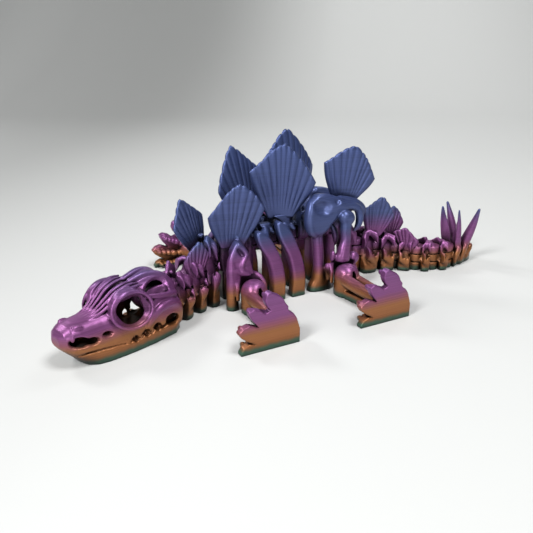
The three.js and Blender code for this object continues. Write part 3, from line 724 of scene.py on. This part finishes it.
# Root, joint and tip of each toe, in the same measures.
TOE_LINES = [
    ((-8, 3.5), (-19, 3.2), (-30, 2.8)),
    ((-9, 9), (-20, 9.8), (-31, 12.2)),
    ((-9, 13.5), (-18, 17.6), (-26, 21)),
    ((-7, 16), (-12, 22.5), (-17.2, 28)),
]
SOLE = 4.2
KNOBS = 4                   # on each bone of a toe


def leg(reach, heel):
    """Barrel, twin shin bones and an upright foot. Toes point to -y, the sole faces +x."""
    clay = Clay((-9, heel - 38, -1), (reach + 2, heel + 2, 36), twin=False)
    clay.add(drum(0, 0, BARREL_RADIUS, BURIED, 14.5, 1.5))
    clay.add(blob((0, 0, 13), (BARREL_RADIUS, BARREL_RADIUS, 6.8)), 1)
    ankle = heel - 10.0
    back = reach - 7.0
    # Two shin bones with a groove between, and a low web under them.
    outer_bone = [(0, 4.2, 10.5), (10, 4.8, 9.6), (back * 0.72, 0.5 * heel + 0.4, 8),
                  (back, heel - 5, 7.6)]
    inner_bone = [(0, -4, 11.5), (10, -3.8, 11), (back * 0.72, -4.6 + 0.2 * heel, 9.8),
                  (back, ankle - 2.5, 10.5)]
    groove = [(5, 0.7, 14), (16, 0.4, 12.4), (back * 0.85, 0.12 * heel, 12)]
    clay.add(tube(outer_bone, [3, 3.1, 2.9, 3.4], (1, 1, 1.15)), 0.6)
    clay.add(tube(inner_bone, [3.1, 3.3, 2.9, 3.4], (1, 1, 1.25)), 0.6)
    clay.add(slab([(0, -6.5), (back, ankle - 5), (back, heel - 2), (0, 7)], BURIED, 5, Z, 0.6), 0.6)
    clay.cut(tube(groove, [1.3, 1.7, 1.4], (1, 1, 2.2)), 0.3)
    # Sole plate and the jointed toes behind it.
    clay.add(slab([(heel + u, v) for u, v in TOES], reach - SOLE, reach, X, 0.35))
    clay.add(blob((reach - 6.5, ankle + 2, 9.5), (5, 8, 9)), 1.5)
    for root, joint, tip in TOE_LINES:
        for (ua, va), (ub, vb), thick in ((root, joint, 3), (joint, tip, 2.5)):
            for k, t in enumerate(np.linspace(0.12, 1, KNOBS)):
                u, v = ua + (ub - ua) * t, va + (vb - va) * t
                size = thick * (1 - 0.1 * k)
                clay.add(blob((reach - 5.4, heel + u, v), (3.6, size * 0.95, size)), 0.5)
    return clay.on_bed()


# ---- Skull -------------------------------------------------------------------


def skull():
    """A hollow skull, with the jaw printed on to it."""
    clay = Clay((-5, -19, -1), (75, 19, 39), FINE_STEP)
    # Outer form: a round braincase, a flat snout and two brow domes.
    clay.add(blob((16.5, 0, 18.5), (18, 14.8, 15.6)))
    clay.add(loft([(14, 14.6, -9, 26), (24, 15, -9, 28), (36, 14.2, -9, 27), (44, 13.2, -7, 24.6),
                   (50, 12.3, -6, 23.4), (54, 11.7, -4.5, 23), (58, 11, -1.5, 22.8), (62, 10, 3, 22.6),
                   (65.5, 8.8, 6.8, 22), (68.5, 6.6, 10, 20.4), (70.4, 3.4, 12.6, 17.8)], 2.6), 3)
    clay.add(blob((35, 9, 24.2), (10.4, 6.6, 9.2), (0, -10, 0)), 2.2)
    clay.add(blob((12, 11.8, 11.5), (10.5, 4.6, 10.5)), 2.5)
    clay.hollow(wall=2.5, floor=5)
    clay.cut(blob((33, 0, 15), (24, 8.5, 9)), 2)
    # Low flat jaw.
    jaw = [(3.5, 11.6), (9, 15), (24, 15.4), (40, 14.2), (50, 12.6), (55, 10.6), (58.4, 6.6)]
    jaw = [(x, -y) for x, y in jaw] + [(59.4, 0)] + jaw[::-1]
    clay.add(slab(jaw, BURIED, 6.4, Z, 1), 2)
    # Roof under the upper openings, so that they are dished.
    clay.add(blob((17, 7.6, 24.4), (9.5, 5.6, 2.6), (10, 6, 0)), 0.8)
    clay.add(blob((13, 4, 18), (7.5, 9.5, 7)), 0.8)
    # Openings through the side walls.
    clay.cut(blob((35.6, 15.4, 22.8), (11, 6.8, 9), (-6, -10, 6)), 0.8)
    clay.cut(blob((64, 10.2, 14.8), (5.8, 5.2, 3), (0, -10, 16)), 0.6)
    clay.cut(blob((57.6, 12, 13.6), (4.2, 4.6, 2.2), (0, -6, 8)), 0.8)
    clay.add(blob((65.8, 7.2, 17), (1, 1.4, 1.6)), 0.4)
    clay.cut(blob((49.4, 13.4, 14.7), (3.3, 4.2, 1.6), (0, -8, 0)), 0.6)
    clay.cut(blob((11.8, 15.6, 9.6), (4.8, 4.4, 3.4), (0, -20, 0)), 0.8)
    clay.cut(blob((17.4, 11, 28.6), (9, 4.2, 5.2), (28, 14, 12)), 0.8)
    clay.cut(blob((14.4, 11.2, 25.4), (4.6, 3, 4), (28, 16, 14)), 0.8)
    # Eye ring: a low rim with a shallow groove round it.
    eye = (35.4, 14, 23)
    facing = (0.2, 0.95, 0.26)
    clay.add(hoop(eye, facing, 10.9, 9.2, 0.9), 0.8)
    clay.cut(hoop((35.4, 14.4, 23.1), facing, 12.9, 11, 0.5), 0.7)
    # Cheek band arching over the rear opening, with a groove over it.
    clay.add(tube([(28, 14.9, 10), (25, 15.5, 15), (18.5, 15.7, 18.9), (11, 15, 18.4),
                   (5.8, 13.6, 13.5), (4.9, 12.9, 6)], [1.2, 2, 2.3, 2.3, 2.2, 1.8], (1, 0.8, 1)), 0.7)
    clay.cut(tube([(30.8, 15.6, 12.5), (27, 15.9, 18.2), (19.5, 15.6, 22.4), (11, 14.6, 22.2),
                   (5, 12.4, 18.8)], [0.5, 0.8, 0.9, 0.9, 0.5]), 0.7)
    # Ridges and grooves that run from the snout over the brow.
    for y, spread, up in ((1.8, 1, 0), (4.6, 1.5, 0), (7.4, 2.2, -0.3)):
        ridge = [(55, y * 0.66, 22.4 + up), (49, y * 0.8, 23.8 + up), (44, y, 27 + up),
                 (38, y + spread * 0.7, 31 + up), (31, y + spread, 32.8 + up), (25, y + spread, 32.2)]
        clay.add(tube(ridge, [0.4, 0.8, 1, 1.1, 1, 0.5]), 0.5)
    for y, spread in ((3.2, 1.2), (6, 1.7)):
        groove = [(52, y * 0.75, 23.8), (45, y, 27.4), (39, y + spread * 0.7, 31.6),
                  (31, y + spread, 34), (26, y + spread, 34)]
        clay.cut(tube(groove, [0.3, 0.5, 0.6, 0.6, 0.3]), 0.8)
    # The crest, and the bars outside the upper openings.
    crest = [(27, 2.4, 33), (18, 3.2, 34.2), (9, 5, 31.2), (3, 6, 25)]
    bar = [(24.5, 13, 26.4), (17, 13.6, 24.4), (8, 12, 22.2), (3, 9, 20.5)]
    clay.add(tube(crest, [1.6, 1.9, 1.9, 1.5]), 1.2)
    clay.add(tube(bar, [1.3, 1.5, 1.6, 1.6]), 1)
    # Nostril, mouth slit and the jagged gap between the teeth.
    clay.cut(blob((61.6, 6.2, 23.2), (3.6, 2, 1.2), (-24, -6, -12)), 0.8)
    clay.add(blob((62.2, 6.2, 21.6), (2.4, 1.3, 0.9), (-30, -8, -14)), 1)
    slit = [(64.5, 7.6, 6.6), (60.5, 9.9, 8.2), (52, 12.6, 7.6), (40.5, 14.6, 6.5)]
    clay.cut(tube(slit, [0.5, 0.6, 0.65, 0.5], (1, 2.4, 1)), 0.2)
    gap = [(38.5, 15, 6.2), (35.2, 15.2, 7.9), (32.6, 15.4, 6.3), (28.6, 15.6, 9),
           (25.6, 15.7, 6.9), (21.6, 15.8, 9.8), (18.8, 15.8, 7.4), (15, 15.6, 8.8)]
    clay.cut(tube(gap, [0.4, 1.1, 0.6, 1.2, 0.7, 1.3, 0.8, 1], (1, 2.6, 1)), 0.3)
    for x, z in ((35, 7), (28.4, 7.6), (21.4, 8.2)):
        clay.cut(blob((x, 15, z), (1.6, 4.2, 1.9), (0, 30, 0)), 0.3)
    end_face(clay, 0, -1, 24, (-6, 0, -1), (10, 12, 24))
    clay.add(blob((6, 0, 11.5), (5, 5.5, 6)), 1.5)
    knuckle(clay, HINGES["skull"])
    return clay.on_bed()


# ---- Back plates --------------------------------------------------------------


PLATE_ROWS = 34
PLATE_FOOT = 0.40           # width at the foot, of the whole width
PLATE_BELLY = 0.56          # height of the two side corners, of the whole height
PLATE_HALF = 1.05           # half the thickness between foot and rim


def plate_mesh(height, width, lean, tilt, ridges, seed):
    """A leaf with ridges that fan out from its foot. Returns vertices (along, across, up) and faces.

    lean moves its tip along, tilt lifts one side corner and lowers the other. s runs across the leaf
    from -1 to 1.
    """
    rows, columns = PLATE_ROWS, ridges * 8 + 1
    # Columns are closer together at the sides, and rows at the rim.
    s = np.linspace(-1, 1, columns)
    s = np.sin(s * math.pi / 2) * 0.35 + s * 0.65
    v = np.linspace(0, 1, rows)
    v = 1 - (1 - v) ** 1.25
    # Ridges wander a little, and the rim dips between them.
    wave = s + 0.045 * np.sin(4.0 * s + seed) + 0.026 * np.sin(9.0 * s + 2.0 * seed)
    ridge = np.abs(np.cos(math.pi * ridges * (wave + 1) / 2 + math.pi / 2)) ** 0.42
    corner = np.abs(s) ** 1.28
    rim = height * (1 - corner) + (height * PLATE_BELLY + tilt * np.sign(s)) * corner
    rim = rim * (1 - 0.034 * (1 - ridge) * (1 - np.abs(s) ** 8)) + 0.35 * np.sin(7 * s + seed)
    top_u = np.sign(s) * np.abs(s) ** 0.92 * width / 2
    top_u = top_u + lean * (rim / height)
    foot_u = s * (width * PLATE_FOOT) / 2
    grid_s, grid_v = np.meshgrid(s, v, indexing="ij")
    u = foot_u[:, None] * (1 - grid_v) + top_u[:, None] * grid_v
    u = u + np.sign(grid_s) * np.abs(grid_s) ** 5 * width * 0.035 * np.sin(math.pi * grid_v ** 1.4)
    up = rim[:, None] * grid_v
    edge = np.sqrt(np.clip(1 - np.abs(grid_s) ** 14, 0, 1)) * np.sqrt(np.clip(1 - grid_v ** 22, 0, 1))
    relief = (ridge[:, None] - 0.62) * (0.70 + 0.012 * height) * np.clip((grid_v - 0.10) / 0.4, 0, 1)
    thick = np.maximum((PLATE_HALF + 0.5 * (1 - grid_v) ** 2 + relief) * edge, 0.0)
    bow = 0.0022 * (u - lean * grid_v) ** 2
    front = np.stack([u, bow + thick, up], axis=-1).reshape(-1, 3)
    back = np.stack([u, bow - thick, up], axis=-1).reshape(-1, 3)
    # Front and back share the vertices of the sides and the rim.
    number = np.arange(columns * rows).reshape(columns, rows)
    rim_cells = np.zeros((columns, rows), bool)
    rim_cells[0], rim_cells[-1], rim_cells[:, -1] = True, True, True
    other = number + columns * rows
    other[rim_cells] = number[rim_cells]
    quads = []
    for i in range(columns - 1):
        for j in range(rows - 1):
            quads.append((number[i, j], number[i, j + 1], number[i + 1, j + 1], number[i + 1, j]))
            quads.append((other[i, j], other[i + 1, j], other[i + 1, j + 1], other[i, j + 1]))
        quads.append((number[i, 0], number[i + 1, 0], other[i + 1, 0], other[i, 0]))
    vertices = np.concatenate([front, back])
    faces = [tuple(dict.fromkeys(int(n) for n in q)) for q in quads]
    return vertices, [f for f in faces if len(f) > 2]


# ---- Pieces -------------------------------------------------------------------


def make_object(name, vertices, faces):
    """An object of these faces, without the vertices that none of them uses."""
    mesh = bpy.data.meshes.new(name)
    mesh.from_pydata([tuple(p) for p in vertices], [], [tuple(int(n) for n in f) for f in faces])
    mesh.validate()
    used = set(n for f in faces for n in f)
    if len(used) < len(vertices):
        work = bmesh.new()
        work.from_mesh(mesh)
        bmesh.ops.delete(work, geom=[p for p in work.verts if not p.link_faces], context="VERTS")
        work.to_mesh(mesh)
        work.free()
    mesh.shade_smooth()
    piece = bpy.data.objects.new(name, mesh)
    bpy.context.scene.collection.objects.link(piece)
    return piece


joints = {j["child"]: j for j in frame["joints"]}
HEADINGS = {"pelvis": 0.0, "rib_2": 180.0}
LEG_HEADINGS = {"left": -90.0, "right": 90.0}


def heading(body):
    """Direction of a link's +x at rest. A hinge's range is centred on the straight pose."""
    if body in HEADINGS:
        return HEADINGS[body]
    for side, turn in LEG_HEADINGS.items():
        if side in body:
            return turn
    low, high = joints[body]["range_deg"]
    return heading(joints[body]["parent"]) - (low + high) / 2


def place(body):
    """Matrix from a link's own frame in millimetres to the row frame in metres."""
    start = joints["rib_2" if body == "pelvis" else body]["pos_m"]
    turn = Matrix.Rotation(math.radians(heading(body)), 4, "Z")
    return Matrix.Translation(Vector(start)) @ turn @ Matrix.Scale(MM, 4)


def transformed(vertices, matrix):
    m = np.array(matrix)
    return np.asarray(vertices) @ m[:3, :3].T + m[:3, 3]


def add_link(name, body, node, clay, mirror=False):
    vertices, faces = clay.faces()
    if mirror:
        vertices = vertices * np.array((1, -1, 1))
        faces = faces[:, ::-1]
    piece = make_object(name, transformed(vertices, place(body)), faces)
    piece.data.materials.append(silk)
    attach(piece, body)
    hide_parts(node)


def add_vertebra(region, number, *shape):
    add_link(f"{region}_bone_{number}", f"{region}_{number}", f"{region}_vertebra_{number}", vertebra(*shape))


def add_plate(name, body, x, y, z, height, width, lean, tilt, side, tailward, ridges):
    vertices, faces = plate_mesh(height, width, lean, tilt, ridges, seed=len(name) + 1.7 * x)
    local = Matrix.Translation((x, y, z))
    local = local @ Matrix.Rotation(math.radians(PLATE_TURN) * side * tailward, 4, "Z")
    local = local @ Matrix.Rotation(-math.radians(PLATE_CANT) * side, 4, "X")
    piece = make_object(name, transformed(vertices, place(body) @ local), faces)
    piece.data.materials.append(silk)
    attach(piece, body)


# ---- Materials -----------------------------------------------------------------


def new_material(name):
    """A material's node tree, its shader, and a function that adds a node with settings and inputs."""
    material = bpy.data.materials.new(name)
    material.use_nodes = True
    nodes = material.node_tree.nodes

    def add(kind, inputs=(), **settings):
        node = nodes.new("ShaderNode" + kind)
        for key, value in settings.items():
            setattr(node, key, value)
        for key, value in dict(inputs).items():
            node.inputs[key].default_value = value
        return node

    return material, nodes["Principled BSDF"], add, material.node_tree.links.new


def colour_ramp(node, interpolation, stops):
    """Sets a ramp's stops: (position, (red, green, blue))."""
    elements = node.color_ramp.elements
    node.color_ramp.interpolation = interpolation
    while len(elements) < len(stops):
        elements.new(0.5)
    for element, (position, colour) in zip(elements, stops):
        element.position = position
        element.color = (*colour, 1.0)
    return node


# Colours over the print's height: 0 is the bed and 1 is 100 mm up.
BANDS = [
    (0.0, (0.055, 0.125, 0.090)), (0.022, (0.062, 0.135, 0.090)), (0.042, (0.330, 0.125, 0.045)),
    (0.105, (0.340, 0.135, 0.050)), (0.140, (0.275, 0.088, 0.120)), (0.180, (0.232, 0.074, 0.212)),
    (0.300, (0.215, 0.075, 0.222)), (0.355, (0.140, 0.082, 0.220)), (0.410, (0.072, 0.096, 0.235)),
    (1.0, (0.058, 0.088, 0.235)),
]
WANDER = 0.0016             # metres over which the bands' borders move up and down


def silk_material():
    """Silk plastic whose colour changes with the height at which it was printed, with shade painted into its
    hollows.
    """
    material, shader, add, link = new_material("silk_gradient_plastic")
    where = add("TexCoord").outputs["Object"]

    # Uneven mixing of the filament's colours: the bands' borders wander up and down.
    split = add("SeparateXYZ")
    link(where, split.inputs[0])
    wander = add("TexNoise", {"Scale": 260.0, "Detail": 2.0})
    link(where, wander.inputs["Vector"])
    shift = add("Math", {1: WANDER}, operation="MULTIPLY_ADD")
    link(wander.outputs["Fac"], shift.inputs[0])
    link(split.outputs["Z"], shift.inputs[2])
    height = add("MapRange", {"From Min": WANDER / 2, "From Max": 0.1 + WANDER / 2})
    link(shift.outputs[0], height.inputs["Value"])
    ramp = colour_ramp(add("ValToRGB"), "LINEAR", BANDS)
    link(height.outputs["Result"], ramp.inputs["Fac"])

    # Printed layers: thin level lines, some a little lighter than others.
    stretch = add("Mapping", {"Scale": (9.0, 9.0, 2600.0)})
    link(where, stretch.inputs["Vector"])
    layers = add("TexNoise", {"Scale": 1.0, "Detail": 3.0, "Roughness": 0.6})
    link(stretch.outputs[0], layers.inputs["Vector"])
    tone = add("MapRange", {"From Min": 0.3, "From Max": 0.7, "To Min": 0.82, "To Max": 1.16})
    link(layers.outputs["Fac"], tone.inputs["Value"])

    # Painted shade: ambient occlusion darkens the base colour in hollows and between parts, where shade
    # falls.
    hollow = add("AmbientOcclusion", {"Distance": 0.018}, samples=8)
    painted_hollow_shade = add("MapRange", {"From Min": 0.28, "From Max": 0.70, "To Min": 0.03, "To Max": 1.0})
    link(hollow.outputs["AO"], painted_hollow_shade.inputs["Value"])
    both = add("Math", operation="MULTIPLY")
    link(tone.outputs["Result"], both.inputs[0])
    link(painted_hollow_shade.outputs["Result"], both.inputs[1])
    # Base colour: the height bands times the layer tone and the painted hollow shade.
    shade = add("VectorMath", operation="SCALE")
    link(ramp.outputs["Color"], shade.inputs[0])
    link(both.outputs[0], shade.inputs["Scale"])
    link(shade.outputs["Vector"], shader.inputs["Base Color"])

    rough = add("MapRange", {"To Min": 0.32, "To Max": 0.46})
    link(layers.outputs["Fac"], rough.inputs["Value"])
    link(rough.outputs["Result"], shader.inputs["Roughness"])
    bump = add("Bump", {"Strength": 0.25, "Distance": 0.00012})
    link(layers.outputs["Fac"], bump.inputs["Height"])
    link(bump.outputs["Normal"], shader.inputs["Normal"])

    # The layers' ridges draw highlights out upright.
    round_z = add("Tangent", direction_type="RADIAL", axis="Z")
    link(round_z.outputs["Tangent"], shader.inputs["Tangent"])
    shader.inputs["Anisotropic"].default_value = 0.6
    shader.inputs["Anisotropic Rotation"].default_value = 0.25
    shader.inputs["Metallic"].default_value = 0.55
    shader.inputs["Specular IOR Level"].default_value = 0.5
    return material


def paper_material():
    """Pale matt paper with painted shade: its colour darkens towards the back left."""
    material, shader, add, link = new_material("paper")
    along = add("VectorMath", {1: (-0.8, 0.6, 0.0)}, operation="DOT_PRODUCT")
    link(add("TexCoord").outputs["Object"], along.inputs[0])
    # Painted shade: the paper's grey falls and rises across floor and wall, as light falls on them.
    painted_shade_greys = [(0.0, 0.61), (0.08, 0.59), (0.25, 0.46), (0.44, 0.31), (0.80, 0.50), (1.0, 0.64)]
    ramp = colour_ramp(add("ValToRGB"), "B_SPLINE",
                       [(position, (grey * 0.985, grey, grey * 0.985)) for position, grey in painted_shade_greys])
    link(along.outputs["Value"], ramp.inputs["Fac"])
    link(ramp.outputs["Color"], shader.inputs["Base Color"])
    shader.inputs["Roughness"].default_value = 0.85
    shader.inputs["Specular IOR Level"].default_value = 0.2
    return material


silk = silk_material()


# ---- Building the figure ---------------------------------------------------------

add_link("skull_bone", "skull", "skull", skull())
add_vertebra("neck", 1, 12, 10.0, 26.5, "neck_1", "skull", (5.8, 4.0), (5.8, 4.4), 21)
add_vertebra("neck", 2, 12, 10.4, 31, "neck_2", "neck_1", (5.8, 5.8), (5.8, 5.8), 22)
add_vertebra("neck", 3, 12, 10.4, 42, "neck_3", "neck_2", (4.0, 5.8), (0, 5.8), 28)
add_link("shoulder_bones", "shoulder", "shoulder_segment", shoulder_segment())
add_link("rib_pair_1", "rib_1", "rib_segment_1", rib_segment(43.6, 12.8))
add_link("rib_pair_2", "rib_2", "rib_segment_2", rib_segment(47.5, 17.8))
add_link("pelvis_bones", "pelvis", "pelvis_segment", pelvis_segment())
add_vertebra("tail", 1, 16.5, 11.0, 28, "tail_1", "tail_2", (5.6, 6.4), (5.8, 6.4), 20.0)
add_vertebra("tail", 2, 15.4, 10.6, 24, "tail_2", "tail_3", (6.4, 6.4), (6.4, 6.4), 17.0)
add_vertebra("tail", 3, 14, 9.8, 20, "tail_3", "tail_3", (6.4, 6.2), (6.4, 6.2), 16.5)
add_vertebra("tail", 4, 11, 9.2, 19.5, "tail_3", "tail_3", (6.2, 6.0), (6.2, 6.0), 16.5)
add_vertebra("tail", 5, 11, 8.8, 18.5, "tail_3", "tail_3", (6.0, 5.8), (6.0, 5.8), 16.5)
add_link("tail_spikes", "tail_tip", "tail_tip", tail_tip())

# Reach from the hip to the sole, and y of the heel.
LEGS = {"front": (44.0, 4.5), "rear": (43.5, 13.5)}
for pair, (reach, heel) in LEGS.items():
    limb = leg(reach, heel)
    for side in ("left", "right"):
        body = f"{pair}_{side}_leg"
        add_link(f"{pair}_{side}_limb", body, body, limb, mirror=side == "right")

# Name, body, x, y, z, height, width, lean, tilt, side of the backbone, +1 where +x is tailward, ridges.
PLATES = [
    ("plate_neck_1", "neck_1", 4.6, -3.5, 18, 14.5, 11, 1, 0, -1, -1, 5),
    ("plate_neck_2", "neck_2", 6.0, 4.0, 20, 22.5, 17, -2, -1, 1, -1, 7),
    ("plate_neck_3", "neck_3", 8.5, -3.5, 32, 33, 26, 9, -2, -1, -1, 8),
    ("plate_shoulder", "shoulder", 17.2, 7.6, 34.4, 38.8, 33, -5, -2, 1, -1, 9),
    ("plate_rib_1", "rib_1", 13.2, -6.4, 43.6, 47, 34, 9, -5, -1, -1, 9),
    ("plate_rib_2", "rib_2", 12.0, 6.6, 48, 45, 41, -1, 4, 1, -1, 11),
    ("plate_pelvis_front", "pelvis", 6.0, 8.0, 50, 48, 42, -2, -4, 1, 1, 10),
    ("plate_pelvis_rear", "pelvis", 33.0, -8.0, 52, 36.5, 36.5, 5, -6, -1, 1, 10),
    ("plate_tail_1", "tail_1", 13.0, -4.0, 24.5, 27.5, 24, 4, -3, -1, 1, 8),
    ("plate_tail_2", "tail_2", 10.5, 3.5, 18, 24, 22, 5, -2, 1, 1, 7),
    ("plate_tail_3", "tail_3", 8.0, -4.5, 14, 16, 18, -2, -2, -1, 1, 6),
]
for row in PLATES:
    add_plate(*row)


# ---- Floor, light and camera ------------------------------------------------------


BEND_STEPS = 24
FLOOR_HALF_WIDTH = 2.4


def backdrop():
    """A floor that curves up into a wall far behind. All in metres."""
    mesh = bpy.data.meshes.new("floor")
    flat, bend, rise = 0.90, 1.0, 1.9
    profile = [(-1.4, 0.0), (flat, 0.0)]
    for k in range(1, BEND_STEPS + 1):
        a = k / BEND_STEPS * math.pi / 2
        profile.append((flat + bend * math.sin(a), bend - bend * math.cos(a)))
    profile.append((flat + bend, rise))
    look = Vector((*LOOK, 0.0))
    side = Vector((look.y, -look.x, 0.0))
    points = []
    for w in (-FLOOR_HALF_WIDTH, FLOOR_HALF_WIDTH):
        points += [tuple(look * d + side * w + Vector((0, 0, h))) for d, h in profile]
    n = len(profile)
    mesh.from_pydata(points, [], [(i, i + 1, n + i + 1, n + i) for i in range(n - 1)])
    mesh.shade_smooth()
    floor = bpy.data.objects.new("floor", mesh)
    bpy.context.scene.collection.objects.link(floor)
    mesh.materials.append(paper_material())


def aimed(name, data, at, direction):
    """An object for a light or a camera, which looks in a direction."""
    item = bpy.data.objects.new(name, data)
    item.location = at
    item.rotation_mode = "QUATERNION"
    item.rotation_quaternion = direction.to_track_quat("-Z", "Y")
    bpy.context.scene.collection.objects.link(item)
    return item


def area_light(name, at, target, size, power):
    light = bpy.data.lights.new(name, "AREA")
    light.shape = "DISK"
    light.size = size
    light.energy = power
    aimed(name, light, at, Vector(target) - Vector(at))


def studio():
    backdrop()
    area_light("overhead", (0.15, -0.50, 1.20), (0.05, -0.05, 0.0), 0.50, 11.5)
    area_light("key", (-0.85, -0.35, 0.85), (0.0, 0.0, 0.03), 0.30, 11.0)
    area_light("fill", (-0.45, -1.00, 0.40), (0.0, 0.0, 0.03), 0.30, 2.6)
    area_light("rim", (-0.55, 0.75, 0.80), (0.0, 0.0, 0.04), 0.30, 4.5)
    area_light("wall", (0.95, 0.50, 1.15), (0.75, 1.30, 0.55), 0.80, 10.0)
    world = bpy.data.worlds.new("studio")
    world.use_nodes = True
    background = world.node_tree.nodes["Background"]
    background.inputs["Color"].default_value = (0.95, 0.97, 1.0, 1)
    background.inputs["Strength"].default_value = 0.06
    bpy.context.scene.world = world
    bpy.context.scene.view_settings.view_transform = "Standard"


def camera():
    """Eye level 145 mm over the table, looking along the animal from ahead of its left side."""
    data = bpy.data.cameras.new("camera")
    data.sensor_width = 36.0
    data.lens = 38.5
    data.clip_start, data.clip_end = 0.01, 20.0
    pitch = math.radians(-21.24)
    look = Vector((LOOK[0] * math.cos(pitch), LOOK[1] * math.cos(pitch), math.sin(pitch)))
    bpy.context.scene.camera = aimed("camera", data, (-0.17033, -0.29588, 0.145), look)


studio()
camera()
